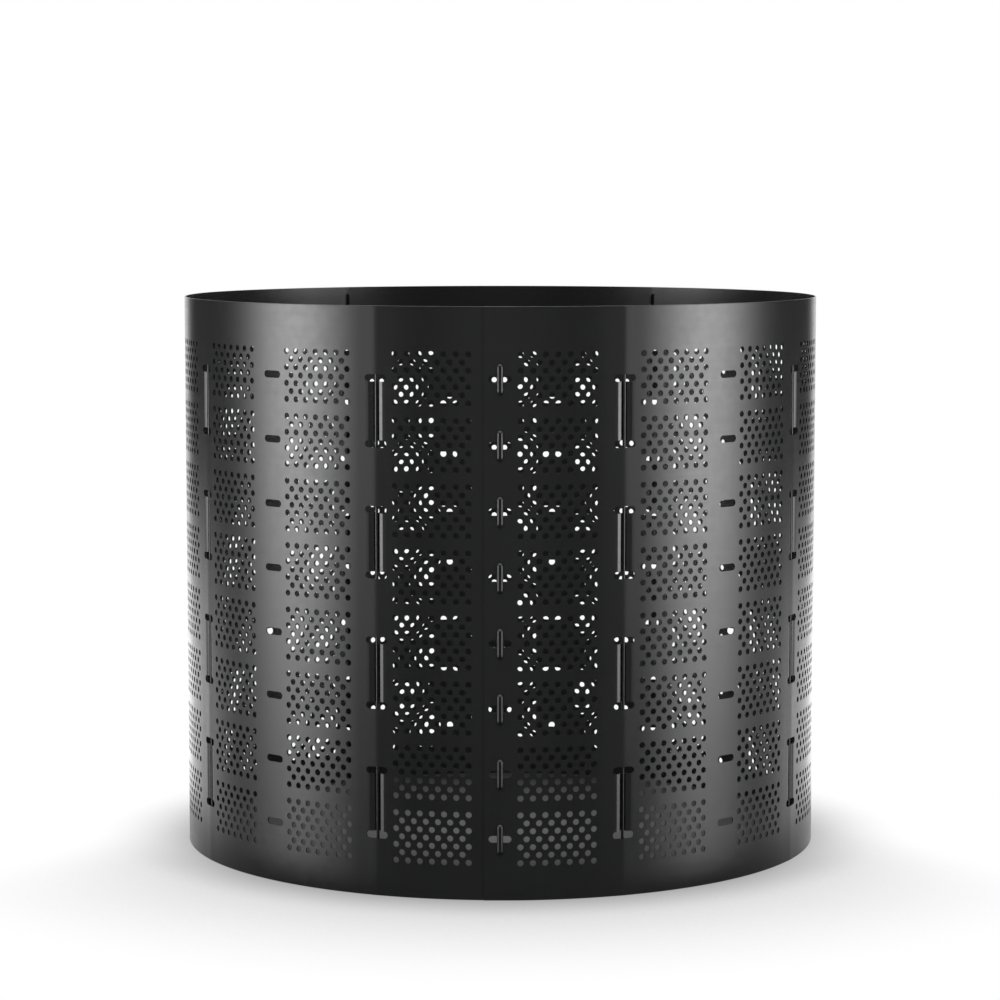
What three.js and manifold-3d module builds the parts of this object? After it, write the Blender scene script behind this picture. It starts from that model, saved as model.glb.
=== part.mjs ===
// Open compost bin: one slotted plastic sheet rolled into a ring and lapped on itself at the
// front, quarter-turn keys that lock the lap, and straight rods threaded through the slots.
// Millimetres, +Z up. The origin is the centre of the ring on the ground, and the lap faces -Y.

import * as THREE from 'three';
import { mergeVertices } from 'three/addons/utils/BufferGeometryUtils.js';
import Module from 'manifold-3d';

// Ring: the sheet as it stands
const RING_DIAMETER = 1055; // over the middle of the sheet's thickness
const RING_HEIGHT = 914;
const SHEET_THICKNESS = 2;
const COLUMNS = 17; // slot columns round the ring, with the lapped one counted once
const LAP_MARGIN = 24.5; // sheet beyond the lapped slot column, at each end
const LAP_GAP = 0.3; // between the two layers of the lap
const FLAT_REACH = 2; // how far the flat at each slot column runs past the lap margin

// Slots: the same rows in every column
const SLOT_ROWS = 8;
const SLOT_LENGTH = 35.5;
const SLOT_HEIGHT = 11.3;
const BOTTOM_ROW_HEIGHT = 95.4; // middle of the lowest slots above the ground
const TOP_ROW_DROP = 110.2; // middle of the highest slots below the rim
const SLOT_ARC_STEPS = 2;
const CUT_OVERRUN = 12; // how far a cutter reaches past both faces of the sheet
const MERGE_TOLERANCE = 0.002; // facets that lie this flat to each other become one

// Air: each field of small round holes beside a slot is one plain window of the same open area
const AIR_HOLE_DIAMETER = 9.6;
const AIR_HOLES_IN_FIELD = 46;
const AIR_FIELD_WIDTH = 134.4;
const AIR_FIELD_HEIGHT = 87.2;
const AIR_FIELD_START = 21.8; // from the slot column on its left
const AIR_WINDOW_MARGIN = 3.5; // flat sheet at each side of a window

// Rods: in front of the sheet between one pair of slots, behind it between the next
const ROD_DIAMETER = 4.8;
const ROD_CHAMFER = 0.8;
const ROD_TOP_DROP = 12; // rod top below the rim
const ROD_GAP = 0.3; // between rod and sheet
const ROD_SIDES = 10;

// Grooves: where the sheet is pressed in behind a rod
const GROOVE_WIDTH = 23;
const GROOVE_SHOULDER_WIDTH_SHARE = 0.46;
const GROOVE_SHOULDER_DEPTH_SHARE = 0.5;
const GROOVE_FLOOR_WIDTH_SHARE = 0.16;

// Keys: a half-round head outside, a round neck through both layers, a shorter bar inside
const KEY_HEAD_LENGTH = 48;
const KEY_HEAD_WIDTH = 9.6;
const KEY_SLIP = 1.2; // between the bar or neck and the slot's edge
const KEY_SEAT_GAP = 0.3; // between head or bar and the sheet
const KEY_JOIN = 1; // how far the neck runs into head and bar
const KEY_CAP_STEPS = 2;
const KEY_SIDES = 10;

// Sizes that follow from those
const halfSheet = SHEET_THICKNESS / 2;
const lapStep = SHEET_THICKNESS + LAP_GAP;
const columnAngle = 2 * Math.PI / COLUMNS;
const flatHalf = LAP_MARGIN + FLAT_REACH;
const rodRadius = ROD_DIAMETER / 2;
const topRowHeight = RING_HEIGHT - TOP_ROW_DROP;
const rowPitch = ( topRowHeight - BOTTOM_ROW_HEIGHT ) / ( SLOT_ROWS - 1 );
const slotRadius = SLOT_HEIGHT / 2;
const airShare = AIR_HOLES_IN_FIELD * Math.PI * ( AIR_HOLE_DIAMETER / 2 ) ** 2
	/ ( AIR_FIELD_WIDTH * AIR_FIELD_HEIGHT );
const windowWidth = AIR_FIELD_WIDTH * Math.sqrt( airShare );
const windowHeight = AIR_FIELD_HEIGHT * Math.sqrt( airShare );
const windowFlatHalf = windowWidth / 2 + AIR_WINDOW_MARGIN;
const windowMiddle = AIR_FIELD_START + AIR_FIELD_WIDTH / 2; // from the slot column on its left

const wasm = await Module();
wasm.setup();

// A closed three.js geometry as a manifold solid
function toSolid( geometry ) {

	const bare = geometry.clone();
	bare.deleteAttribute( 'normal' );
	bare.deleteAttribute( 'uv' );
	const merged = mergeVertices( bare );

	return new wasm.Manifold( new wasm.Mesh( {
		numProp: 3,
		vertProperties: merged.attributes.position.array,
		triVerts: new Uint32Array( merged.index.array ),
	} ) );

}

// A manifold solid back as a three.js geometry
function toGeometry( solid ) {

	const mesh = solid.getMesh();
	const geometry = new THREE.BufferGeometry();
	geometry.setAttribute( 'position', new THREE.BufferAttribute( mesh.vertProperties, 3 ) );
	geometry.setIndex( new THREE.BufferAttribute( mesh.triVerts, 1 ) );
	geometry.computeVertexNormals();
	return geometry;

}

// The sheet winds inwards by one lap step in a full turn, so its end slides in under its start
function ringRadius( column ) {

	return RING_DIAMETER / 2 + lapStep * ( 0.5 - column / COLUMNS );

}

// Distance from the ring's axis to the flat at a slot column
function flatDistance( column ) {

	return Math.sqrt( ringRadius( column ) ** 2 - flatHalf ** 2 );

}

// At a rod the two flanks run on straight from the flat's ends and meet in a crease
function flankDistance( column, across ) {

	const flat = flatDistance( column );
	return ringRadius( column ) ** 2 / flat - Math.abs( across ) * flatHalf / flat;

}

function rodDistance( column ) {

	return flankDistance( column, 0 ) - halfSheet - ROD_GAP - rodRadius;

}

// A point of a slot column, across it and out from the axis, turned to its place in the ring
function columnPoint( column, across, distance ) {

	return new THREE.Vector2( across, - distance )
		.rotateAround( new THREE.Vector2(), column * columnAngle );

}

// Rods stand in every second column, counted from the lap towards the back on both sides
function isRodColumn( column ) {

	const fromLap = Math.min( column, COLUMNS - column );
	return fromLap % 2 === 1;

}

// Half of the groove's outline, from its mouth to its floor: distance across, distance out
function grooveOutline( column ) {

	const mouth = GROOVE_WIDTH / 2;
	const mouthDistance = flankDistance( column, mouth );
	const floorDistance = rodDistance( column ) - rodRadius - ROD_GAP - halfSheet;
	const shoulderDistance = mouthDistance
		- ( mouthDistance - floorDistance ) * GROOVE_SHOULDER_DEPTH_SHARE;
	return [
		[ mouth, mouthDistance ],
		[ mouth * GROOVE_SHOULDER_WIDTH_SHARE, shoulderDistance ],
		[ mouth * GROOVE_FLOOR_WIDTH_SHARE, floorDistance ],
	];

}

// Middle of one slot column's sheet, between its two flat ends
function columnCentre( column, grooved ) {

	if ( ! isRodColumn( column ) ) return [];
	if ( ! grooved ) return [ columnPoint( column, 0, flankDistance( column, 0 ) ) ];
	const outline = grooveOutline( column );
	const left = outline.map( ( [ across, distance ] ) => columnPoint( column, - across, distance ) );
	const right = outline.map( ( [ across, distance ] ) => columnPoint( column, across, distance ) );
	return [ ...left, ...right.reverse() ];

}

// A place in the ring in columns, from a column and a distance round the ring past it
function columnsAt( column, past ) {

	return column + past / ( ringRadius( column ) * columnAngle );

}

// Points on the round stretch between one slot column's flat and the next: the two ends of the
// flat that the air windows are in
function roundStretch( column ) {

	return [ windowMiddle - windowFlatHalf, windowMiddle + windowFlatHalf ].map( ( past ) => {

		const place = columnsAt( column, past );
		return columnPoint( place, 0, ringRadius( place ) );

	} );

}

// The middle line of the whole sheet seen from above, from its outer end to its inner end
function sheetLine( grooved ) {

	const line = [];
	for ( let column = 0; column <= COLUMNS; column ++ ) {

		const flat = flatDistance( column );
		const left = column === 0 ? LAP_MARGIN : flatHalf;
		const right = column === COLUMNS ? LAP_MARGIN : flatHalf;
		line.push( columnPoint( column, - left, flat ) );
		line.push( ...columnCentre( column, grooved ) );
		line.push( columnPoint( column, right, flat ) );
		if ( column < COLUMNS ) line.push( ...roundStretch( column ) );

	}

	return line;

}

// A line moved sideways, to its outer side where the distance is positive, with mitred corners
function offsetLine( line, distance ) {

	return line.map( ( point, i ) => {

		const previous = line[ Math.max( i - 1, 0 ) ];
		const next = line[ Math.min( i + 1, line.length - 1 ) ];
		const outOf = ( from, to ) => new THREE.Vector2( to.y - from.y, from.x - to.x ).normalize();
		const before = i > 0 ? outOf( previous, point ) : outOf( point, next );
		const after = i < line.length - 1 ? outOf( point, next ) : before;
		const mitre = before.clone().add( after ).divideScalar( 1 + before.dot( after ) );
		return point.clone().addScaledVector( mitre, distance );

	} );

}

// One band of the sheet between two heights, its rod columns creased or grooved. Its two ends
// are set to the given heights, so that neighbouring bands meet in exactly the same plane.
function sheetBand( low, high, grooved ) {

	const line = sheetLine( grooved );
	const outline = [ ...offsetLine( line, halfSheet ), ...offsetLine( line, - halfSheet ).reverse() ];
	const band = new THREE.ExtrudeGeometry( new THREE.Shape( outline ), {
		depth: high - low,
		bevelEnabled: false,
	} );
	const position = band.attributes.position;
	for ( let i = 0; i < position.count; i ++ ) position.setZ( i, position.getZ( i ) > 0 ? high : low );
	return toSolid( band );

}

// A slot with round ends, cut straight through one column of the sheet
function slotCutter( column, height ) {

	const straight = SLOT_LENGTH / 2 - slotRadius;
	const outline = new THREE.Shape();
	outline.absarc( straight, 0, slotRadius, - Math.PI / 2, Math.PI / 2 );
	outline.absarc( - straight, 0, slotRadius, Math.PI / 2, Math.PI * 3 / 2 );
	const reach = SHEET_THICKNESS + CUT_OVERRUN;
	const cutter = new THREE.ExtrudeGeometry( outline, {
		depth: 2 * reach,
		bevelEnabled: false,
		curveSegments: SLOT_ARC_STEPS,
	} );
	cutter.rotateX( Math.PI / 2 );
	cutter.translate( 0, reach - flatDistance( column ), height );
	cutter.rotateZ( column * columnAngle );
	return toSolid( cutter );

}

// An oblong air window, cut straight through the flat beside one slot
function windowCutter( column, height ) {

	const place = columnsAt( column, windowMiddle );
	const reach = SHEET_THICKNESS + CUT_OVERRUN;
	const cutter = new THREE.BoxGeometry( windowWidth, 2 * reach, windowHeight );
	cutter.translate( 0, - ringRadius( place ), height );
	cutter.rotateZ( place * columnAngle );
	return toSolid( cutter );

}

function rowHeight( row ) {

	return BOTTOM_ROW_HEIGHT + row * rowPitch;

}

// The whole sheet: the bands change over at each row of slots, and the openings are cut last
function sheetGeometry() {

	const bands = [];
	for ( let band = 0; band <= SLOT_ROWS; band ++ ) {

		const low = band === 0 ? 0 : rowHeight( band - 1 );
		const high = band === SLOT_ROWS ? RING_HEIGHT : rowHeight( band );
		bands.push( sheetBand( low, high, band % 2 === 1 ) );

	}

	const cutters = [];
	for ( let column = 0; column < COLUMNS; column ++ ) {

		for ( let row = 0; row < SLOT_ROWS; row ++ ) {

			cutters.push( slotCutter( column, rowHeight( row ) ) );
			cutters.push( windowCutter( column, rowHeight( row ) ) );

		}

	}

	const wall = wasm.Manifold.union( bands ).subtract( wasm.Manifold.union( cutters ) );
	return toGeometry( wall.asOriginal().simplify( MERGE_TOLERANCE ) );

}

// A bar with round ends along Z, cut down to the half that faces out (-1) or in (+1)
function halfRoundBar( length, width, facing ) {

	const bar = new THREE.CapsuleGeometry( width / 2, length - width, KEY_CAP_STEPS, KEY_SIDES );
	bar.rotateX( Math.PI / 2 );
	const waste = new THREE.BoxGeometry( 2 * width, width, length + width );
	waste.translate( 0, - facing * width / 2, 0 );
	return toSolid( bar ).subtract( toSolid( waste ) );

}

// A key on its own axis, with y = 0 at the middle of the lap and its head towards -Y
function keyGeometry() {

	const halfLap = ( lapStep + SHEET_THICKNESS ) / 2 + KEY_SEAT_GAP;
	const barLength = SLOT_LENGTH - 2 * KEY_SLIP;
	const barWidth = SLOT_HEIGHT - 2 * KEY_SLIP;
	const neckLength = 2 * ( halfLap + KEY_JOIN );
	const neck = new THREE.CylinderGeometry( barWidth / 2, barWidth / 2, neckLength, KEY_SIDES );
	const head = halfRoundBar( KEY_HEAD_LENGTH, KEY_HEAD_WIDTH, - 1 ).translate( 0, - halfLap, 0 );
	const bar = halfRoundBar( barLength, barWidth, 1 ).translate( 0, halfLap, 0 );
	return toGeometry( head.add( bar ).add( toSolid( neck ) ) );

}

// A rod standing on the ground, its ends chamfered
function rodGeometry() {

	const length = RING_HEIGHT - ROD_TOP_DROP;
	const profile = [
		[ 0, 0 ],
		[ rodRadius - ROD_CHAMFER, 0 ],
		[ rodRadius, ROD_CHAMFER ],
		[ rodRadius, length - ROD_CHAMFER ],
		[ rodRadius - ROD_CHAMFER, length ],
		[ 0, length ],
	].map( ( [ radius, height ] ) => new THREE.Vector2( radius, height ) );
	const rod = new THREE.LatheGeometry( profile, ROD_SIDES );
	rod.rotateX( Math.PI / 2 );
	return toGeometry( toSolid( rod ) );

}

const sheetPlastic = new THREE.MeshStandardMaterial( { color: 0x1c1d1e, roughness: 0.38, metalness: 0 } );
const keyPlastic = new THREE.MeshStandardMaterial( { color: 0x121314, roughness: 0.3, metalness: 0 } );
const rodPlastic = new THREE.MeshStandardMaterial( { color: 0x0c0c0d, roughness: 0.25, metalness: 0 } );

const bin = new THREE.Group();

const sheet = new THREE.Mesh( sheetGeometry(), sheetPlastic );
sheet.name = 'wall_sheet';
bin.add( sheet );

// Keys in the lapped column, numbered from the rim down, all locked with their heads upright
const keyShape = keyGeometry();
const lapMiddle = ( flatDistance( 0 ) + flatDistance( COLUMNS ) ) / 2;
for ( let row = 0; row < SLOT_ROWS; row ++ ) {

	const key = new THREE.Mesh( keyShape, keyPlastic );
	key.name = `lock_key_${ row + 1 }`;
	key.position.set( 0, - lapMiddle, topRowHeight - row * rowPitch );
	bin.add( key );

}

// Rods, numbered round the ring from the lap, rising to the right as seen from the front
const rodShape = rodGeometry();
let rodNumber = 0;
for ( let column = 1; column < COLUMNS; column ++ ) {

	if ( ! isRodColumn( column ) ) continue;
	rodNumber ++;
	const rod = new THREE.Mesh( rodShape, rodPlastic );
	const place = columnPoint( column, 0, rodDistance( column ) );
	rod.name = `stay_rod_${ rodNumber }`;
	rod.position.set( place.x, place.y, 0 );
	rod.rotation.z = column * columnAngle;
	bin.add( rod );

}

export default bin;
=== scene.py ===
"""Open compost bin: one slotted plastic sheet rolled into a ring, the keys that lock its lap and
the rods that stay it. Metres, +Z up, the lap faces -Y and the ground is at zero."""

from __future__ import annotations

import logging
import math
from dataclasses import dataclass, field
from enum import Enum

import bpy
import numpy as np
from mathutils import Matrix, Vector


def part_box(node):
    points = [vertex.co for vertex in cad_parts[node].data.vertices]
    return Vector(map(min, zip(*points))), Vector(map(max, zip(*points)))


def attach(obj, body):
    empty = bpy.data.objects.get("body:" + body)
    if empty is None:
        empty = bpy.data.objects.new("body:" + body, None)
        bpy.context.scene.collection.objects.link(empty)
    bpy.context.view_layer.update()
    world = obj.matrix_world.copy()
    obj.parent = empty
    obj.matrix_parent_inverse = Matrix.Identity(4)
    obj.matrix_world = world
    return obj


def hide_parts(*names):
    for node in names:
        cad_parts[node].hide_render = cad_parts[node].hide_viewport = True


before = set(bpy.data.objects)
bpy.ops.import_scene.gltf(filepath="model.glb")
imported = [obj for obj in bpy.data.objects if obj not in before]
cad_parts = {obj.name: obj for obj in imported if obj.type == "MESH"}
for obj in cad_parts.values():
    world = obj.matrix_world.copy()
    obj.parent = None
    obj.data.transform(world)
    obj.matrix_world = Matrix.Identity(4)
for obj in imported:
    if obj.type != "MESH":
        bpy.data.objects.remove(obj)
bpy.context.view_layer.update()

MM = 0.001
TINY = 1e-12
LOG = logging.getLogger("compost bin")
Feed = float | tuple | bpy.types.NodeSocket  # a value, or the socket that gives it


class ColumnKind(Enum):
    """What a column of slots is for, which sets how the sheet is bent there."""

    LAPPED = "flat, two layers held by keys"
    PLAIN = "round, nothing in its slots"
    RODDED = "creased behind a rod's back, pressed in behind its front"


def unit(vectors: np.ndarray) -> np.ndarray:
    """The same vectors at length one."""
    return vectors / np.maximum(np.linalg.norm(vectors, axis=-1, keepdims=True), TINY)


def new_object(name: str, mesh: bpy.types.Mesh, material: bpy.types.Material) -> bpy.types.Object:
    """Puts a mesh in the scene under its name, with its material.

    Args:
        name: the piece's name.
        mesh: its mesh, already in place.
        material: its finish.

    Returns:
        The new object, at the origin.
    """
    mesh.materials.append(material)
    piece = bpy.data.objects.new(name, mesh)
    bpy.context.scene.collection.objects.link(piece)
    return piece


def mesh_from(name: str, points: np.ndarray, faces: list[np.ndarray]) -> bpy.types.Mesh:
    """Fills a mesh from whole arrays.

    Args:
        name: the mesh's name.
        points: one row of x, y, z for each vertex.
        faces: arrays of vertex numbers, each with one row for each face of its kind.

    Returns:
        The mesh, smooth shaded, its faces in the order given.
    """
    corners = np.concatenate([kind.ravel() for kind in faces])
    totals = np.concatenate([np.full(len(kind), kind.shape[1]) for kind in faces])
    starts = np.concatenate([[0], np.cumsum(totals)[:-1]])
    mesh = bpy.data.meshes.new(name)
    mesh.vertices.add(len(points))
    mesh.vertices.foreach_set("co", points.astype(np.float32).ravel())
    mesh.loops.add(len(corners))
    mesh.loops.foreach_set("vertex_index", corners.astype(np.int32))
    mesh.polygons.add(len(totals))
    mesh.polygons.foreach_set("loop_start", starts.astype(np.int32))
    mesh.polygons.foreach_set("use_smooth", np.ones(len(totals), bool))
    mesh.update(calc_edges=True)
    return mesh


def ring_faces(rings: int, around: int) -> list[np.ndarray]:
    """Faces of a closed tube of rings with a pole point at each end.

    The points are expected ring after ring, then the pole of the first ring and the pole of the
    last one. Seen from outside, each ring runs counter-clockwise about the way on.

    Args:
        rings: how many rings there are.
        around: how many points each ring has.

    Returns:
        The four-sided faces and the three-sided ones.
    """
    ring, step = np.meshgrid(np.arange(rings - 1), np.arange(around), indexing="ij")
    here = ring * around + step
    beside = ring * around + (step + 1) % around
    quads = np.stack([here, beside, beside + around, here + around], -1).reshape(-1, 4)
    turn = np.arange(around)
    onward = (turn + 1) % around
    start_pole = rings * around
    last = (rings - 1) * around
    start = np.stack([np.full(around, start_pole), onward, turn], -1)
    end = np.stack([np.full(around, start_pole + 1), last + turn, last + onward], -1)
    return [quads, np.concatenate([start, end])]


@dataclass
class Facets:
    """Facets of the sheet before it is rolled: each corner is a length along the sheet and a
    height, and corners run counter-clockwise as seen from what will be the outside."""

    quads: np.ndarray = field(default_factory=lambda: np.empty((0, 4, 2)))
    triangles: np.ndarray = field(default_factory=lambda: np.empty((0, 3, 2)))

    def at(self, places: np.ndarray) -> Facets:
        """Copies of these facets, one set at each place.

        Args:
            places: rows of length along the sheet and height.

        Returns:
            All the copies together.
        """
        shift = np.asarray(places, float).reshape(-1, 1, 1, 2)
        return Facets(
            (self.quads + shift).reshape(-1, 4, 2),
            (self.triangles + shift).reshape(-1, 3, 2),
        )

    @staticmethod
    def joined(parts: list[Facets]) -> Facets:
        """All the facets of several sets in one.

        Args:
            parts: the sets.

        Returns:
            One set, in the order given.
        """
        return Facets(
            np.concatenate([part.quads for part in parts]),
            np.concatenate([part.triangles for part in parts]),
        )

    @staticmethod
    def between(along: np.ndarray, low: float | np.ndarray, high: float | np.ndarray) -> Facets:
        """Quads that fill the space between a lower and an upper line.

        Args:
            along: places along the sheet, rising.
            low: the lower line's height, or its height at each place.
            high: the same for the upper line.

        Returns:
            One quad from each place to the next.
        """
        lower = np.stack([along, np.broadcast_to(low, along.shape)], -1)
        upper = np.stack([along, np.broadcast_to(high, along.shape)], -1)
        return Facets(np.stack([lower[:-1], lower[1:], upper[1:], upper[:-1]], 1))

    @staticmethod
    def stitched(few: tuple[float, np.ndarray], many: tuple[float, np.ndarray]) -> Facets:
        """Triangles that fill a strip between a line of few points and a line of many.

        Every step of the line of many is joined to the nearest of the few, and every step of the
        line of few to the point of the other line where the nearest one changes.

        Args:
            few: the place along the sheet and the rising heights of the line of few points.
            many: the same for the line of many points.

        Returns:
            The strip's triangles.
        """
        (few_at, low), (many_at, high) = few, many
        middle = (high[:-1] + high[1:]) / 2
        near = np.abs(middle[:, None] - low[None, :]).argmin(1)
        fans = np.stack([
            np.stack([np.full(len(middle), few_at), low[near]], -1),
            np.stack([np.full(len(middle), many_at), high[:-1]], -1),
            np.stack([np.full(len(middle), many_at), high[1:]], -1),
        ], 1)
        change = np.searchsorted(near, np.arange(1, len(low)))
        fills = np.stack([
            np.stack([np.full(len(low) - 1, few_at), low[:-1]], -1),
            np.stack([np.full(len(low) - 1, many_at), high[change]], -1),
            np.stack([np.full(len(low) - 1, few_at), low[1:]], -1),
        ], 1)
        triangles = np.concatenate([fans, fills])
        if many_at < few_at:
            triangles = triangles[:, ::-1]
        return Facets(triangles=triangles)


@dataclass(frozen=True)
class AirHoles:
    """One field of round air holes, in rows of seven and six by turns."""

    diameter: float = 9.6 * MM
    pitch: float = 19.2 * MM
    row_pitch: float = 12.46 * MM
    in_long_row: int = 7
    rows: int = 7
    first: float = 31.4 * MM  # from the slot column on its left to a long row's first hole

    @property
    def left(self) -> float:
        """Left edge of the field, from the slot column on its left."""
        return self.first - self.pitch / 2

    @property
    def right(self) -> float:
        """Right edge of the field, from the slot column on its left."""
        return self.left + self.in_long_row * self.pitch

    @property
    def half_height(self) -> float:
        """Half of the field's height."""
        return self.rows * self.row_pitch / 2

    def lengths(self) -> np.ndarray:
        """Places along the sheet where the field's top and bottom edges have a point."""
        return self.left + np.arange(2 * self.in_long_row + 1) * self.pitch / 2

    def heights(self) -> np.ndarray:
        """Heights where the field's side edges have a point, from its middle."""
        return np.arange(-self.rows, self.rows + 1) * self.row_pitch / 2

    def cell(self) -> Facets:
        """The oblong round one hole: two quads and a triangle in each quarter.

        A quarter runs from the oblong's side over its corner to its top, and the hole's arc in
        it has four points thirty degrees apart, as far out as gives the round hole's area: twelve
        triangles of radius squared over four against pi times the true radius squared. The
        corners of a mirrored quarter run the other way, so they are turned round.

        Returns:
            The facets, with the hole's middle at zero.
        """
        half = np.array([self.pitch / 2, self.row_pitch / 2])
        turns = np.radians([0, 30, 60, 90])
        radius = self.diameter / 2 * math.sqrt(math.pi / 3)
        arc = radius * np.stack([np.cos(turns), np.sin(turns)], -1)
        side, corner, top = half * [1, 0], half, half * [0, 1]
        quads = np.array([[arc[0], side, corner, arc[1]], [arc[2], corner, top, arc[3]]])
        triangles = np.array([[arc[1], corner, arc[2]]])
        signs = np.array([[1, 1], [-1, 1], [-1, -1], [1, -1]])
        return Facets.joined([
            Facets((quads * sign)[:, ::sign.prod()], (triangles * sign)[:, ::sign.prod()])
            for sign in signs
        ])

    def field(self) -> Facets:
        """All the cells of one field, with the half cells that fill the ends of short rows.

        Returns:
            The facets, their lengths from the slots on the left and heights from the middle.
        """
        row = np.arange(self.rows)
        height = (row - (self.rows - 1) / 2) * self.row_pitch
        short = row % 2 == 1
        hole = np.arange(self.in_long_row)
        long_places = np.stack(np.meshgrid(self.first + hole * self.pitch, height[~short]), -1)
        short_along = self.first + (hole[:-1] + 0.5) * self.pitch
        short_places = np.stack(np.meshgrid(short_along, height[short]), -1)
        places = np.concatenate([long_places.reshape(-1, 2), short_places.reshape(-1, 2)])
        parts = [self.cell().at(places)]
        for start in (self.left, self.right - self.pitch / 2):
            along = start + np.array([0, self.pitch / 2])
            for below in (-self.row_pitch / 2, 0):
                end_cell = Facets.between(along, below, below + self.row_pitch / 2)
                parts.append(end_cell.at(np.stack([0 * height[short], height[short]], -1)))
        return Facets.joined(parts)


@dataclass(frozen=True)
class RodGroove:
    """The sheet's dent where a rod stands in front of it: wide soft flanks, a straight slope
    on each side and a narrow bed."""

    half_width: float = 17.75 * MM  # out to the ends of the slots
    flank_depth: float = 1.0 * MM
    flank_power: float = 2.0
    slope_from: float = 6.6 * MM
    slope_to: float = 11.4 * MM  # short of where the slots' round ends begin
    slope_depth: float = 1.45 * MM
    bed_half_width: float = 4.6 * MM
    bed_depth: float = 5.75 * MM
    bed_power: float = 10.0
    edge_steepness: float = 3.0  # how soon the bed's tail fades at the dent's edge
    lines_share: tuple[float, ...] = (0, 0.13, 0.26, 0.34, 0.4, 0.47, 0.56, 0.67, 0.82, 0.94, 1)

    def depth(self, across: np.ndarray) -> np.ndarray:
        """Depth of the dent across a column.

        The flanks fall as a power of the distance from the dent's edge, the slope falls evenly
        between two distances from the middle, and the bed is a bell: one over one plus a high
        power of the distance from the middle.

        Args:
            across: distance from the column's middle.

        Returns:
            How far the sheet is pressed in, zero outside the dent.
        """
        away = np.abs(across)
        edge = np.clip(1 - away / self.half_width, 0, None)
        slope = np.clip((self.slope_to - away) / (self.slope_to - self.slope_from), 0, 1)
        bell = 1 / (1 + (away / self.bed_half_width) ** self.bed_power)
        fade = np.clip(edge * self.edge_steepness, 0, 1)
        return (self.flank_depth * edge ** self.flank_power + self.slope_depth * slope
                + self.bed_depth * bell * fade)

    def lines(self) -> np.ndarray:
        """Distances across the column where the dent needs a line of points."""
        right = self.slope_to * np.array(self.lines_share)
        return np.concatenate([-right[:0:-1], right])


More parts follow.
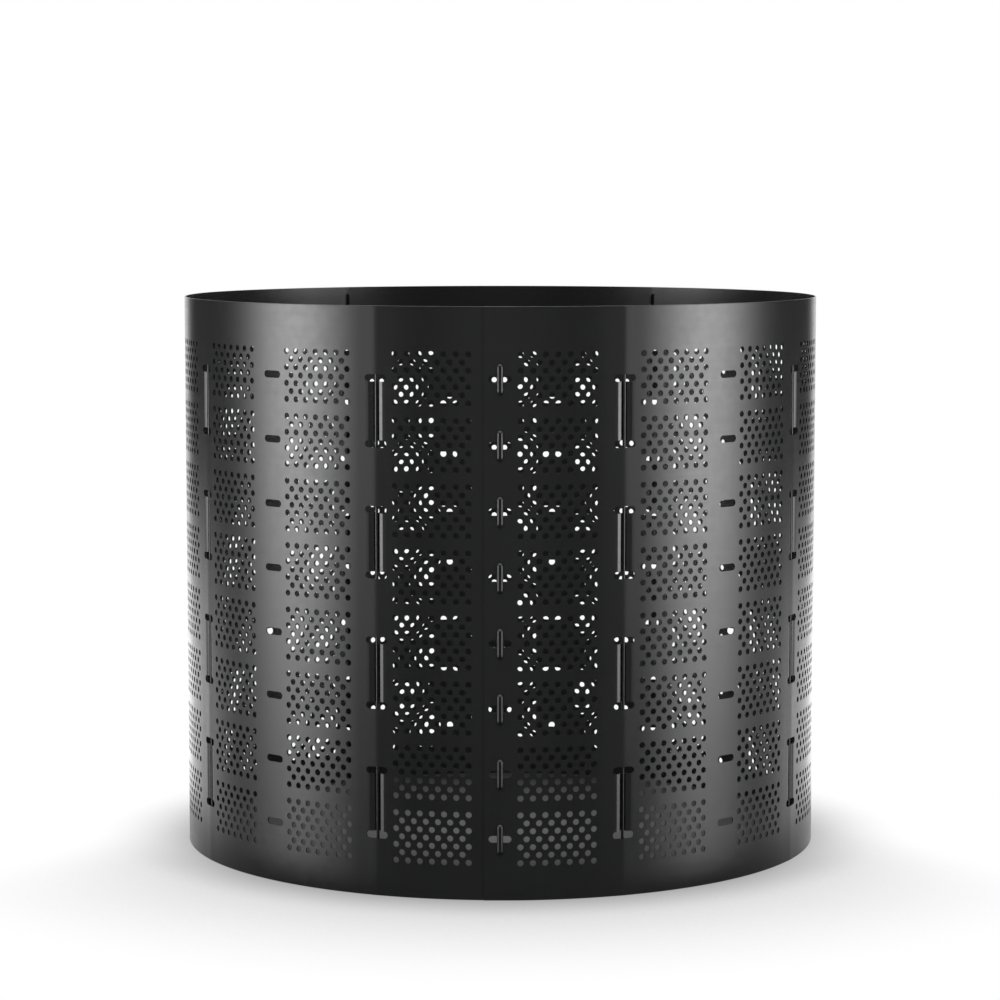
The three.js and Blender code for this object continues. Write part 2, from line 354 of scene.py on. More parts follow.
@dataclass
class WallSheet:
    """The rolled sheet. It is laid out flat, with its holes and slots, and then rolled up."""

    finish: Plastic
    thickness: float = 2 * MM
    lap_gap: float = 0.3 * MM
    lap_margin: float = 24.5 * MM
    flat_half: float = 26.5 * MM  # half of the straight stretch at lapped and rodded columns
    crest_radius: float = 3.2 * MM
    lap_bend: float = 0.1 * MM  # how softly the lap's flat runs into the round
    slot_length: float = 35.5 * MM
    slot_height: float = 11.3 * MM
    slot_arc_steps: int = 5
    edge_round: float = 0.5 * MM
    soft_angle: float = math.radians(25)  # cut walls this near their mean normal take it
    run_step: float = 0.02 * MM  # half the stretch that the sheet's run is measured over
    weld: float = 1e-4 * MM  # corners closer than this are one point
    weld_stride: int = 2 ** 25  # more welds than the sheet is high
    columns: int = 17
    parts: int = 3
    holes: AirHoles = field(default_factory=AirHoles)
    groove: RodGroove = field(default_factory=RodGroove)
    height: float = field(init=False)
    rows: np.ndarray = field(init=False)  # heights of the rows of slots
    radius: float = field(init=False)
    pitch: float = field(init=False)  # from one slot column to the next
    lap_step: float = field(init=False)  # how far the sheet closes in over one turn

    def __post_init__(self) -> None:
        """Takes the ring's size and the rows of slots from the frame."""
        self.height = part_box("wall_sheet")[1].z
        self.rows = np.sort([(low.z + high.z) / 2 for low, high in map(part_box, LockKeys.nodes())])
        front, back = (corner.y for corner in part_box(LockKeys.nodes()[0]))
        lap_middle = -(front + LockKeys.head_radius + back - LockKeys.bar_radius) / 2
        self.radius = math.hypot(lap_middle, self.flat_half)
        self.pitch = 2 * math.pi * self.radius / self.columns
        self.lap_step = self.thickness + self.lap_gap

    def kind(self, column: int) -> ColumnKind:
        """What a slot column is for. Rods stand in every second one on both sides of the lap.

        Args:
            column: which slot column, counted from the sheet's outer end.

        Returns:
            Its kind.
        """
        from_lap = min(column, self.columns - column)
        if from_lap == 0:
            return ColumnKind.LAPPED
        return ColumnKind.RODDED if from_lap % 2 else ColumnKind.PLAIN

    def middle(self, along: np.ndarray, height: np.ndarray) -> np.ndarray:
        """Points of the rolled sheet's middle surface.

        The sheet winds on a spiral that closes in by one lap step in a turn. At the lap it runs
        straight over the flat, as the cosine of the flat's half angle over that of the place.
        At a rod it follows the two tangents of the flat's ends, which meet in a rounded crease,
        and between the slot rows where the rod is outside the groove's depth comes off.

        Args:
            along: lengths along the sheet from the middle of its outer slot column.
            height: heights above the ground.

        Returns:
            One point for each pair.
        """
        column = np.clip(np.rint(along / self.pitch), 0, self.columns).astype(int)
        across = along - column * self.pitch
        kinds = np.array([self.kind(i).name for i in range(self.columns + 1)])[column]
        base = self.radius + self.lap_step * (0.5 - along / (self.columns * self.pitch))
        flat_angle = math.asin(self.flat_half / self.radius)
        angle = np.abs(across) / self.radius
        dip = base * (1 - math.cos(flat_angle) / np.cos(angle))
        lapped = base - (dip + np.sqrt(dip ** 2 + self.lap_bend ** 2)) / 2
        crest = np.minimum(np.hypot(angle, self.crest_radius / self.radius), flat_angle)
        rodded = base / np.cos(flat_angle - crest)
        band = np.searchsorted(self.rows, height)
        rodded = rodded - np.where(band % 2 == 1, self.groove.depth(across), 0)
        distance = np.where(kinds == ColumnKind.LAPPED.name, lapped, base)
        distance = np.where(kinds == ColumnKind.RODDED.name, rodded, distance)
        turn = along / self.radius
        return np.stack([distance * np.sin(turn), -distance * np.cos(turn), height], -1)

    def outward(self, along: np.ndarray, height: np.ndarray) -> np.ndarray:
        """Directions out of the sheet: the run of the middle surface turned a quarter turn.

        Args:
            along: lengths along the sheet.
            height: heights above the ground.

        Returns:
            One unit vector for each pair, level with the ground.
        """
        run = (self.middle(along + self.run_step, height)
               - self.middle(along - self.run_step, height))
        return unit(np.stack([run[:, 1], -run[:, 0], 0 * run[:, 2]], -1))

    def slot_reach(self, across: np.ndarray) -> np.ndarray:
        """How far a slot reaches up and down: level, then by a quarter circle to its end.

        Args:
            across: distances from the slot's middle.

        Returns:
            Half of the slot's height at each distance, zero past its end.
        """
        radius = self.slot_height / 2
        past = np.clip(np.abs(across) - (self.slot_length / 2 - radius), 0, radius)
        return np.where(np.abs(across) < self.slot_length / 2, np.sqrt(radius ** 2 - past ** 2), 0)

    def side_heights(self, between: np.ndarray) -> np.ndarray:
        """Heights of the points up a strip's side: two at each rim, and those between them."""
        rims = np.array([0, self.edge_round])
        return np.concatenate([rims, between.ravel(), self.height - rims[::-1]])

    def slot_strip(self, column: int) -> Facets:
        """The upright strip of one slot column, from the field on its left to the next one.

        Args:
            column: which slot column, counted from the sheet's outer end.

        Returns:
            The facets, their lengths from the column's middle.
        """
        radius = self.slot_height / 2
        slot_end = self.slot_length / 2
        turns = np.linspace(0, math.pi / 2, self.slot_arc_steps + 1)
        arc = slot_end - radius + radius * np.sin(turns)
        arc[-1] = slot_end
        inner = self.groove.lines() if self.kind(column) is ColumnKind.RODDED else np.zeros(1)
        left_edge = -self.lap_margin if column == 0 else -self.flat_half
        right_edge = [self.lap_margin] if column == self.columns else []
        across = np.concatenate([[left_edge], -arc[::-1], inner, arc, right_edge])
        reach = self.slot_reach(across)
        bottom, top = self.edge_round, self.height - self.edge_round
        floors = [0, bottom, *(self.rows[:, None] + reach), top]
        ceilings = [bottom, *(self.rows[:, None] - reach), top, self.height]
        parts = [Facets.between(across, low, high) for low, high in zip(floors, ceilings)]
        few = self.side_heights(self.rows)
        many = self.side_heights(self.rows[:, None] + self.holes.heights())
        if column > 0:
            field_edge = self.holes.right - self.pitch
            parts.append(Facets.stitched((left_edge, few), (field_edge, many)))
        if column < self.columns:
            parts.append(Facets.stitched((slot_end, few), (self.holes.left, many)))
        return Facets.joined(parts)

    def hole_strip(self) -> Facets:
        """The upright strip of hole fields between two slot columns, with the plain sheet above,
        below and between them.

        Returns:
            The facets, their lengths from the slot column on the left.
        """
        along = self.holes.lengths()
        half = self.holes.half_height
        bottom, top = self.edge_round, self.height - self.edge_round
        floors = [0, bottom, *(self.rows + half), top]
        ceilings = [bottom, *(self.rows - half), top, self.height]
        parts = [Facets.between(along, low, high) for low, high in zip(floors, ceilings)]
        parts.append(self.holes.field().at(np.stack([0 * self.rows, self.rows], -1)))
        return Facets.joined(parts)

    def flat_part(self, first: int, last: int) -> Facets:
        """Everything from one slot column up to, but without, another.

        Args:
            first: the first slot column of the part.
            last: the slot column after its last one.

        Returns:
            The facets, their lengths from the sheet's outer slot column.
        """
        hole_strip = self.hole_strip()
        parts = []
        for column in range(first, last):
            place = np.array([[column * self.pitch, 0]])
            parts.append(self.slot_strip(column).at(place))
            if column < self.columns:
                parts.append(hole_strip.at(place))
        return Facets.joined(parts)

    def rolled_mesh(self, name: str, flat: Facets) -> bpy.types.Mesh:
        """Rolls flat facets up and gives them the sheet's thickness.

        Corners at the same place become one point. Each point is set half a thickness out and
        half a thickness in along the outward direction, a little less at the two rims, and every
        edge with a facet on one side only gets a wall between its two copies.

        Args:
            name: the mesh's name.
            flat: the facets to roll.

        Returns:
            A closed mesh with its normals set.
        """
        corners = np.concatenate([flat.triangles.reshape(-1, 2), flat.quads.reshape(-1, 2)])
        keys = np.rint(corners / self.weld).astype(np.int64) @ np.array([self.weld_stride, 1])
        _, first, numbers = np.unique(keys, return_index=True, return_inverse=True)
        along, height = corners[first].T
        count = len(first)
        split = 3 * len(flat.triangles)
        triangles = numbers.ravel()[:split].reshape(-1, 3)
        quads = numbers.ravel()[split:].reshape(-1, 4)

        middle = self.middle(along, height)
        out = self.outward(along, height)
        from_rim = np.minimum(height, self.height - height)
        rounding = np.clip(1 - from_rim / self.edge_round, 0, 1)
        half = (self.thickness / 2 - self.edge_round * rounding)[:, None]
        points = np.concatenate([middle + half * out, middle - half * out])
        upright = np.where(height > self.height / 2, 1, -1) * rounding
        lean = np.stack([0 * upright, 0 * upright, upright], -1)
        normals = np.concatenate([unit(out + lean), unit(lean - out)])

        starts = np.concatenate([triangles.ravel(), quads.ravel()])
        ends = np.concatenate([
            np.roll(triangles, -1, axis=1).ravel(),
            np.roll(quads, -1, axis=1).ravel(),
        ])
        free = ~np.isin(starts * count + ends, ends * count + starts)
        walls = np.stack([ends[free], starts[free], starts[free] + count, ends[free] + count], -1)
        wall_normals = self.wall_normals(points, walls)

        faces = [
            triangles,
            triangles[:, ::-1] + count,
            quads,
            quads[:, ::-1] + count,
            walls,
        ]
        mesh = mesh_from(name, points, faces)
        punched = (from_rim[walls % count] > self.edge_round).all(1)
        cut = np.concatenate([np.zeros(len(mesh.polygons) - len(walls)), punched])
        mesh.attributes.new("cut", "FLOAT", "FACE").data.foreach_set("value", cut)
        shell_corners = np.concatenate([kind.ravel() for kind in faces[:-1]])
        mesh.normals_split_custom_set(np.concatenate([normals[shell_corners], wall_normals]))
        return mesh

    def wall_normals(self, points: np.ndarray, walls: np.ndarray) -> np.ndarray:
        """Normals of the walls' corners, smooth round a hole and sharp at a square corner.

        Args:
            points: the shell's points.
            walls: four point numbers for each wall: end, start, and their copies inside.

        Returns:
            One normal for each corner of each wall.
        """
        end, start, start_in, _ = walls.T
        own = unit(np.cross(points[start] - points[end], points[start_in] - points[start]))
        sums = np.zeros_like(points)
        np.add.at(sums, start, own)
        np.add.at(sums, end, own)
        mixed = unit(sums)
        normals = []
        for corner in (end, start, start, end):
            soft = (mixed[corner] * own).sum(-1) > math.cos(self.soft_angle)
            normals.append(np.where(soft[:, None], mixed[corner], own))
        return np.stack(normals, 1).reshape(-1, 3)

    def build(self) -> None:
        """Builds the sheet in parts of a few columns each, which meet without a seam."""
        material = self.finish.material()
        cuts = np.linspace(0, self.columns + 1, self.parts + 1).astype(int)
        for number, (first, last) in enumerate(zip(cuts[:-1], cuts[1:]), start=1):
            name = f"rolled_sheet_{number}"
            mesh = self.rolled_mesh(name, self.flat_part(first, last))
            piece = new_object(name, mesh, material)
            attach(piece, "sheet")
            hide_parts("wall_sheet")
            LOG.info("%s: slot columns %d to %d, %d faces", name, first, last - 1,
                     len(mesh.polygons))


@dataclass
class LockKeys:
    """The quarter-turn keys of the lap: a half-round head, a neck and a shorter bar inside."""

    finish: Plastic
    head_radius: float = 4.8 * MM
    bar_radius: float = 4.45 * MM
    bar_length: float = 33.1 * MM
    neck_sink: float = 1 * MM
    support_place: float = 1.5  # from the ends to the straight part's last rings, in radii
    sharp_angle: float = math.radians(50)
    cap_steps: int = 7
    around: int = 24
    back_steps: int = 6

    @staticmethod
    def nodes() -> list[str]:
        """Names of the keys' nodes, from the rim down."""
        return sorted(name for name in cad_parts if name.startswith("lock_key_"))

    def half_round(self, length: float, radius: float, middle: np.ndarray,
                   facing: int) -> tuple[np.ndarray, list[np.ndarray]]:
        """A bar with round ends whose back is cut flat.

        Each ring is a half circle and the straight back that closes it. The rings keep the
        radius along the bar, and near an end they shrink as the cosine of an angle while they
        move on by its sine, down to a pole on the back.

        Args:
            length: length over the round ends, upright.
            radius: radius of the half circle.
            middle: middle of the flat back.
            facing: -1 for a crown towards -Y, 1 for one towards +Y.

        Returns:
            The points, and the faces that join them.
        """
        turns = np.linspace(0, math.pi / 2, self.cap_steps + 1)[:-1]
        lift = length / 2 - radius + radius * np.sin(turns)
        support = length / 2 - self.support_place * radius
        heights = np.concatenate([-lift[::-1], [-support, support], lift])
        scale = np.concatenate([np.cos(turns[::-1]), [1, 1], np.cos(turns)])
        crown = np.linspace(0, math.pi, self.around + 1)
        back = np.linspace(-1, 1, self.back_steps + 1)[1:-1]
        side = np.concatenate([np.cos(crown), back]) * radius
        deep = np.concatenate([np.sin(crown), 0 * back]) * radius * facing
        if facing < 0:
            side, deep = side[::-1], deep[::-1]
        rings = np.stack([
            middle[0] + scale[:, None] * side,
            middle[1] + scale[:, None] * deep,
            np.broadcast_to(middle[2] + heights[:, None], (len(heights), len(side))),
        ], -1)
        poles = middle + np.array([[0, 0, -length / 2], [0, 0, length / 2]])
        points = np.concatenate([rings.reshape(-1, 3), poles])
        return points, ring_faces(len(heights), len(side))

    def neck(self, start: np.ndarray, end_y: float) -> tuple[np.ndarray, list[np.ndarray]]:
        """The round neck: a circle carried along +Y.

        Args:
            start: middle of its front end.
            end_y: where its back end lies.

        Returns:
            The points, and the faces that join them.
        """
        turns = np.arange(self.around) * 2 * math.pi / self.around
        circle = np.stack([np.cos(turns), 0 * turns, -np.sin(turns)], -1) * self.bar_radius
        end = np.array([start[0], end_y, start[2]])
        points = np.concatenate([start + circle, end + circle, [start, end]])
        return points, ring_faces(2, self.around)

    def key_mesh(self, name: str, node: str) -> bpy.types.Mesh:
        """Builds one key where its node lies.

        Args:
            name: the mesh's name.
            node: the node it stands for.

        Returns:
            The key's mesh.
        """
        low, high = (np.array(corner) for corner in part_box(node))
        middle = (low + high) / 2
        head_back = np.array([middle[0], low[1] + self.head_radius, middle[2]])
        bar_back = np.array([middle[0], high[1] - self.bar_radius, middle[2]])
        sink = np.array([0, self.neck_sink, 0])
        shells = [
            self.half_round(high[2] - low[2], self.head_radius, head_back, -1),
            self.half_round(self.bar_length, self.bar_radius, bar_back, 1),
            self.neck(head_back - sink, (bar_back + sink)[1]),
        ]
        points, quads, triangles, count = [], [], [], 0
        for shell_points, (shell_quads, shell_triangles) in shells:
            points.append(shell_points)
            quads.append(shell_quads + count)
            triangles.append(shell_triangles + count)
            count += len(shell_points)
        mesh = mesh_from(name, np.concatenate(points),
                         [np.concatenate(quads), np.concatenate(triangles)])
        mesh.set_sharp_from_angle(angle=self.sharp_angle)
        return mesh

    def build(self) -> None:
        """Builds all the keys."""
        material = self.finish.material()
        for node in self.nodes():
            name = node.replace("lock_key", "moulded_key")
            piece = new_object(name, self.key_mesh(name, node), material)
            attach(piece, node)
            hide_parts(node)
            LOG.info("%s: stands for %s", name, node)


@dataclass
class StayRods:
    """The straight round rods that are threaded through every second slot column."""

    finish: Plastic
    diameter: float = 4.8 * MM
    end_round: float = 1.2 * MM
    end_steps: int = 5
    support_place: float = 2.0  # from the ends to the straight part's last rings, in end_round
    around: int = 32

    @staticmethod
    def nodes() -> list[str]:
        """Names of the rods' nodes, round the ring from the lap."""
        return sorted(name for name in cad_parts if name.startswith("stay_rod_"))

    def rod_mesh(self, name: str, node: str) -> bpy.types.Mesh:
        """Builds one rod where its node stands: circles carried up a line.

        At both ends the circles shrink by the end's rounding as one minus the sine of an angle,
        while the height goes as one minus its cosine.

        Args:
            name: the mesh's name.
            node: the node it stands for.

        Returns:
            The rod's mesh.
        """
        low, high = (np.array(corner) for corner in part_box(node))
        middle = (low + high) / 2
        radius = self.diameter / 2
        turns = np.linspace(0, math.pi / 2, self.end_steps + 1)
        shrink = self.end_round * (1 - np.sin(turns))
        lift = self.end_round * (1 - np.cos(turns))
        radii = radius - np.concatenate([shrink, [0, 0], shrink[::-1]])
        support = self.support_place * self.end_round
        heights = np.concatenate([
            low[2] + lift,
            [low[2] + support, high[2] - support],
            high[2] - lift[::-1],
        ])
        around = np.arange(self.around) * 2 * math.pi / self.around
        circle = np.stack([np.cos(around), np.sin(around)], -1)
        rings = np.empty((len(heights), self.around, 3))
        rings[..., :2] = middle[:2] + radii[:, None, None] * circle
        rings[..., 2] = heights[:, None]
        poles = np.array([[*middle[:2], low[2]], [*middle[:2], high[2]]])
        points = np.concatenate([rings.reshape(-1, 3), poles])
        return mesh_from(name, points, ring_faces(len(heights), self.around))

    def build(self) -> None:
        """Builds all the rods."""
        material = self.finish.material()
        for node in self.nodes():
            name = node.replace("stay_rod", "round_rod")
            piece = new_object(name, self.rod_mesh(name, node), material)
            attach(piece, node)
            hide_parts(node)
            LOG.info("%s: stands for %s", name, node)


@dataclass(frozen=True)
class Step:
    """A soft step: the result goes from start to end while a value goes from low to high."""

    low: float
    high: float
    start: float = 0.0
    end: float = 1.0


class Nodes:
    """Adds nodes to a tree in short calls."""

    def __init__(self, owner: bpy.types.Material | bpy.types.World) -> None:
        """Starts with an empty tree.

        Args:
            owner: the material or world that gets the nodes.
        """
        owner.use_nodes = True
        self.tree = owner.node_tree
        self.tree.nodes.clear()

    def add(self, kind: str, inputs: dict[int | str, Feed], **settings: object) -> bpy.types.Node:
        """Adds one node.

        Args:
            kind: the node's type, without its leading word.
            inputs: for each socket's name or number, a value or the socket that feeds it.
            settings: the node's own properties.

        Returns:
            The node.
        """
        node = self.tree.nodes.new(f"ShaderNode{kind}")
        for key, value in settings.items():
            setattr(node, key, value)
        for socket, value in inputs.items():
            if isinstance(value, bpy.types.NodeSocket):
                self.tree.links.new(value, node.inputs[socket])
            else:
                node.inputs[socket].default_value = value
        return node

    def math(self, operation: str, first: Feed, *others: Feed) -> bpy.types.NodeSocket:
        """The result of one operation, carried on through all that is given.

        Args:
            operation: what is done with the result so far and the next value or socket.
            first: the first value or socket.
            others: those after it, none where the operation takes only one.

        Returns:
            The socket that gives the result.
        """
        for other in others or (0.0,):
            first = self.add("Math", {0: first, 1: other}, operation=operation).outputs[0]
        return first

    def step(self, value: Feed, step: Step,
             start: bpy.types.NodeSocket | None = None) -> bpy.types.NodeSocket:
        """A soft step over a value.

        Args:
            value: the value or socket that drives it.
            step: its limits and its results.
            start: a socket that takes the place of the step's start.

        Returns:
            The socket that gives the result.
        """
        limits = {"Value": value, "From Min": step.low, "From Max": step.high,
                  "To Min": step.start if start is None else start, "To Max": step.end}
        return self.add("MapRange", limits, interpolation_type="SMOOTHSTEP").outputs["Result"]

    def eye(self) -> bpy.types.NodeSocket:
        """One for what the eye sees, straight or through something clear, and zero otherwise."""
        path = self.add("LightPath", {}).outputs
        return self.math("MAXIMUM", path["Is Camera Ray"], path["Is Transmission Ray"])


@dataclass(frozen=True)
class Plastic:
    """A black plastic: two near-black tones in soft clouds, gloss that wanders a little, faint
    level lines from the roller and a fine grain. Punched edges are rougher and hardly shine."""

    name: str
    slot: str
    colour: tuple[float, float, float]
    cloud_colour: tuple[float, float, float]
    roughness: tuple[float, float]  # lowest and highest
    cloud_size: float = 90 * MM
    cloud_detail: float = 4
    smudge_size: float = 14 * MM
    smudge_detail: float = 3
    line_size: float = 5 * MM
    line_stretch: tuple[float, float, float] = (0.02, 0.02, 1)  # drawn out level
    line_share: float = 0.35
    grain_size: float = 0.9 * MM
    grain_height: float = 0.012 * MM
    grain_strength: float = 0.5
    fine_detail: float = 2  # of the lines and the grain
    noise_span: tuple[float, float] = (0.3, 0.7)  # what nearly all of a noise lies between
    refraction: float = 1.49
    shine: float = 0.5
    has_cuts: bool = False  # whether its pieces have the attribute `cut`
    cut_roughness: float = 0.7
    cut_shine: float = 0.03

    def material(self) -> bpy.types.Material:
        """Builds the material.

        Returns:
            A node material that reads the piece's own object coordinates and, where it has
            cuts, the attribute `cut`, which is one on punched edges.
        """
        material = bpy.data.materials.new(self.name)
        nodes = Nodes(material)
        place = nodes.add("TexCoord", {}).outputs["Object"]
        tone = nodes.add("Mix", {
            "Factor": self.noise(nodes, place, self.cloud_size, self.cloud_detail),
            "A": (*self.colour, 1),
            "B": (*self.cloud_colour, 1),
        }, data_type="RGBA")
        level = nodes.add("Mapping", {"Vector": place, "Scale": self.line_stretch}).outputs[0]
        blend = nodes.add("Mix", {
            "Factor": self.line_share,
            "A": self.noise(nodes, place, self.smudge_size, self.smudge_detail),
            "B": self.noise(nodes, level, self.line_size, self.fine_detail),
        })
        (least, most), (low, high) = self.noise_span, self.roughness
        spread = nodes.add("MapRange", {"Value": blend.outputs["Result"], "From Min": least,
                                        "From Max": most, "To Min": low, "To Max": high})
        rough, shine = spread.outputs["Result"], self.shine
        if self.has_cuts:
            cut = nodes.add("Attribute", {}, attribute_name="cut").outputs["Fac"]
            rough, shine = (
                nodes.add("Mix", {"Factor": cut, "A": whole, "B": punched}).outputs["Result"]
                for whole, punched in ((rough, self.cut_roughness), (shine, self.cut_shine))
            )
        grain = self.noise(nodes, place, self.grain_size, self.fine_detail)
        bump = nodes.add("Bump", {"Strength": self.grain_strength, "Distance": self.grain_height,
                                  "Height": grain})
        shader = nodes.add("BsdfPrincipled", {
            "Base Color": tone.outputs["Result"],
            "Roughness": rough,
            "Specular IOR Level": shine,
            "IOR": self.refraction,
            "Normal": bump.outputs["Normal"],
        })
        nodes.add("OutputMaterial", {"Surface": shader.outputs[0]})
        return material

    @staticmethod
    def noise(nodes: Nodes, place: bpy.types.NodeSocket, size: float,
              detail: float) -> bpy.types.NodeSocket:
        """Adds a noise of a given size.

        Args:
            nodes: what adds nodes to the material.
            place: the coordinates it reads.
            size: length of one wave.
            detail: how many finer waves ride on it.

        Returns:
            The socket that gives its value.
        """
        inputs = {"Vector": place, "Scale": 1 / size, "Detail": detail}
        return nodes.add("TexNoise", inputs).outputs["Fac"]


SHEET_FINISH = Plastic(
    name="black_sheet_plastic",
    slot="sheet_plastic",
    colour=(0.0105, 0.0108, 0.0112),
    cloud_colour=(0.0135, 0.0138, 0.0142),
    roughness=(0.19, 0.25),
    has_cuts=True,
)
KEY_FINISH = Plastic(
    name="black_key_plastic",
    slot="key_plastic",
    colour=(0.005, 0.005, 0.0052),
    cloud_colour=(0.007, 0.007, 0.0072),
    roughness=(0.27, 0.33),
    cloud_size=20 * MM,
    smudge_size=5 * MM,
    line_share=0.1,
    grain_size=0.5 * MM,
)
ROD_FINISH = Plastic(
    name="black_rod_plastic",
    slot="rod_plastic",
    colour=(0.0035, 0.0035, 0.0036),
    cloud_colour=(0.006, 0.006, 0.0061),
    roughness=(0.16, 0.22),
    cloud_size=60 * MM,
    smudge_size=8 * MM,
    line_share=0.2,
    grain_size=0.4 * MM,
    grain_height=0.006 * MM,
)


@dataclass
class Studio:
    """Camera, floor and surroundings. The surroundings are white to the eye. To the bin they are
    a wide soft light overhead, a soft lamp on each side, a bright floor and backdrop behind it
    and little in front, each set by its direction from the bin."""

    camera_distance: float = 5.219
    camera_height: float = 1.0846
    camera_dip: float = math.radians(5.6555)
    lens: float = 111.55
    sensor_width: float = 36.0

    # The floor and its painted shade, by the distance from the ring's axis, or by Y from before the
    # bin to beside it.
    floor_half: float = 40.0
    floor_grey: float = 0.4
    shade_samples: int = 16
    shade_reach: Step = Step(-0.6, 0.0, 0.52, 0.15)  # how far off the bin's painted shadow darkens it
    wall_foot: Step = Step(0.5255, 0.529)  # through the wall, from the painted shade inside the ring to outside
    inside_light: Step = Step(0.0, 0.5255, 0.11, 0.04)  # painted shade amid the ring and at its wall
    foot_light: Step = Step(-0.4, -0.05, 0.78)  # painted shade at the foot of the wall
    foot_reach: Step = Step(0.529, 0.66)  # where the painted shade at the foot ends and the whole of the light is there again
    contact_glow: Step = Step(-0.45, -0.05, 0.07, 0.55)  # painted shade of the floor that the bin mirrors, dim in front and brighter beside
    contact_reach: Step = Step(0.56, 0.88)  # where the mirrored floor gives way to the studio

    # The surroundings, by the turn of a direction from the front and by its rise.
    eye_glow: float = 1.0
    lamp_glow: float = 9.5
    lamp_turn: float = math.radians(76.5)
    lamp_spread: float = math.radians(18.7)
    lamp_foot: Step = Step(-0.225, -0.06, 0.06)
    lamp_top: Step = Step(0.02, 0.12, 1.0, 0.0)
    backdrop: Step = Step(math.radians(150), math.radians(162), 0.0, 1.3)
    near_floor: Step = Step(-0.24, -0.15, 0.63, 1.8)
    far_floor: Step = Step(-0.16, -0.09, 1.0, 0.0)
    far_floor_lift: Step = Step(math.radians(112), math.radians(155), -0.008, 0.008)
    floor_behind: Step = Step(math.radians(88), math.radians(138))
    floor_fall: Step = Step(math.radians(146), math.radians(170), 0.0, 0.6)
    front: Step = Step(0.15, 0.5, 0.2, 0.05)
    front_foot: Step = Step(-0.22, -0.13, 0.1)
    overhead: Step = Step(0.42, 0.62, 0.0, 2.6)

    def build(self) -> None:
        """Sets up the whole studio."""
        self.add_camera()
        self.add_floor()
        self.add_world()
        bpy.context.scene.view_settings.view_transform = "Standard"

    def add_camera(self) -> None:
        """Adds the camera in front of the bin, dipped towards it."""
        data = bpy.data.cameras.new("camera")
        data.lens = self.lens
        data.sensor_width = self.sensor_width
        camera = bpy.data.objects.new("camera", data)
        camera.location = (0, -self.camera_distance, self.camera_height)
        camera.rotation_euler = (math.pi / 2 - self.camera_dip, 0, 0)
        bpy.context.scene.collection.objects.link(camera)
        bpy.context.scene.camera = camera

    def add_floor(self) -> None:
        """Adds the pale floor. To the eye it is white with a painted shadow, softly darker where
        the bin stands over it; it gives the bin its bounced light, and its gloss comes from the
        surroundings."""
        corners = np.array([[-1, -1, 0], [1, -1, 0], [1, 1, 0], [-1, 1, 0]]) * self.floor_half
        material = bpy.data.materials.new("pale_floor")
        nodes = Nodes(material)
        here = nodes.add("NewGeometry", {}).outputs["Position"]
        forward = nodes.add("SeparateXYZ", {0: here}).outputs["Y"]
        away = nodes.add("VectorMath", {0: here}, operation="LENGTH").outputs["Value"]
        # The floor's shadow is painted: to the eye it is an emission whose strength is the
        # occlusion times painted shade under the ring and at the wall's foot.
        open_air = nodes.math("MAXIMUM", nodes.step(away, self.wall_foot),
                              nodes.step(away, self.inside_light))
        near = nodes.add("AmbientOcclusion", {"Distance": nodes.step(forward, self.shade_reach)},
                         samples=self.shade_samples)
        foot = nodes.step(away, self.foot_reach, start=nodes.step(forward, self.foot_light))
        painted_floor_shadow = nodes.math("MULTIPLY", near.outputs["AO"], foot, open_air)
        seen = nodes.add("Emission", {"Strength": painted_floor_shadow})
        grey = (self.floor_grey, self.floor_grey, self.floor_grey, 1)
        lit = nodes.add("BsdfDiffuse", {"Color": grey})
        # Painted shade of the floor near the bin, as the bin's gloss sees it: an emission set by
        # position, not cast by any lamp.
        contact = nodes.math("MULTIPLY", nodes.step(forward, self.contact_glow), open_air)
        painted_mirror_shade = nodes.add("Emission", {"Strength": contact})
        clear = nodes.add("BsdfTransparent", {})
        mirrored = nodes.add("MixShader", {0: nodes.step(away, self.contact_reach),
                                           1: painted_mirror_shade.outputs[0], 2: clear.outputs[0]})
        gloss = nodes.add("LightPath", {}).outputs["Is Glossy Ray"]
        unseen = nodes.add("MixShader", {0: gloss, 1: lit.outputs[0], 2: mirrored.outputs[0]})
        choose = nodes.add("MixShader", {0: nodes.eye(), 1: unseen.outputs[0], 2: seen.outputs[0]})
        nodes.add("OutputMaterial", {"Surface": choose.outputs[0]})
        mesh = mesh_from("floor", corners, [np.array([[0, 1, 2, 3]])])
        new_object("floor", mesh, material)

    def add_world(self) -> None:
        """Adds the surroundings. The turn of a direction is 0 towards the front and half a turn
        towards the back on either side, and its rise is the sine of its height."""
        world = bpy.data.worlds.new("studio")
        bpy.context.scene.world = world
        nodes = Nodes(world)
        way = nodes.add("TexCoord", {}).outputs["Generated"]
        parts = nodes.add("SeparateXYZ", {0: way}).outputs
        rise = parts["Z"]
        turn = nodes.math("ARCTAN2", nodes.math("ABSOLUTE", parts["X"]),
                          nodes.math("MULTIPLY", parts["Y"], -1.0))
        past = nodes.math("DIVIDE", nodes.math("SUBTRACT", turn, self.lamp_turn), self.lamp_spread)
        bell = nodes.math("EXPONENT", nodes.math("MULTIPLY", past, past, -1.0))
        lamps = nodes.math("MULTIPLY", bell, self.lamp_glow, nodes.step(rise, self.lamp_foot),
                           nodes.step(rise, self.lamp_top))
        lifted = nodes.math("SUBTRACT", rise, nodes.step(turn, self.far_floor_lift))
        behind = nodes.math("SUBTRACT", nodes.step(turn, self.floor_behind),
                            nodes.step(turn, self.floor_fall))
        floor = nodes.math("MULTIPLY", nodes.step(rise, self.near_floor),
                           nodes.step(lifted, self.far_floor), behind)
        front = nodes.math("MULTIPLY", nodes.step(rise, self.front_foot),
                           nodes.step(turn, self.front))
        light = nodes.math("ADD", lamps, nodes.step(turn, self.backdrop), floor, front,
                           nodes.step(rise, self.overhead))
        strength = nodes.add("Mix", {"Factor": nodes.eye(), "A": light, "B": self.eye_glow})
        background = nodes.add("Background", {"Color": (1, 1, 1, 1),
                                              "Strength": strength.outputs["Result"]})
        nodes.add("OutputWorld", {"Surface": background.outputs[0]})


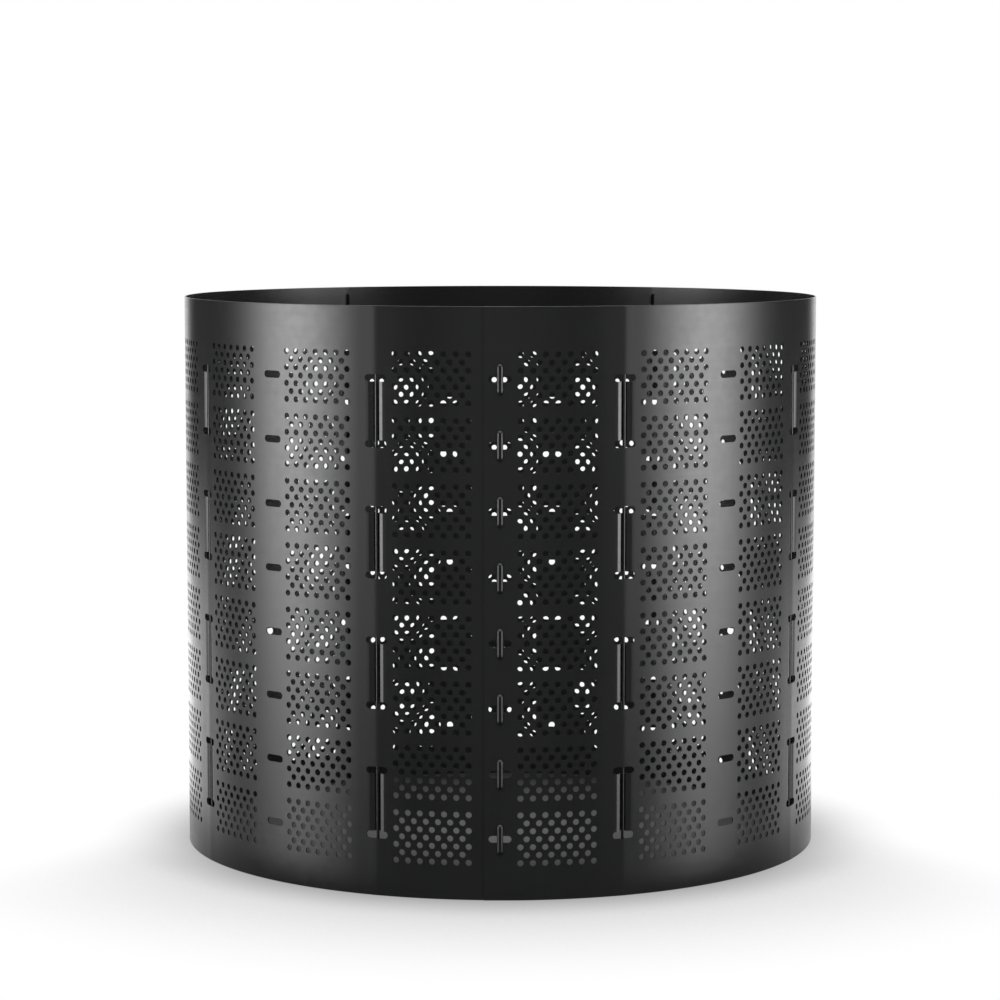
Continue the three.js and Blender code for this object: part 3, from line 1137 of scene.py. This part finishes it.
def main() -> None:
    """Builds the bin and its studio in order."""
    logging.basicConfig(level=logging.INFO, format="%(name)s: %(message)s")
    Studio().build()
    LOG.info("studio set up")
    WallSheet(SHEET_FINISH).build()
    LockKeys(KEY_FINISH).build()
    StayRods(ROD_FINISH).build()


if __name__ == "__main__":
    main()
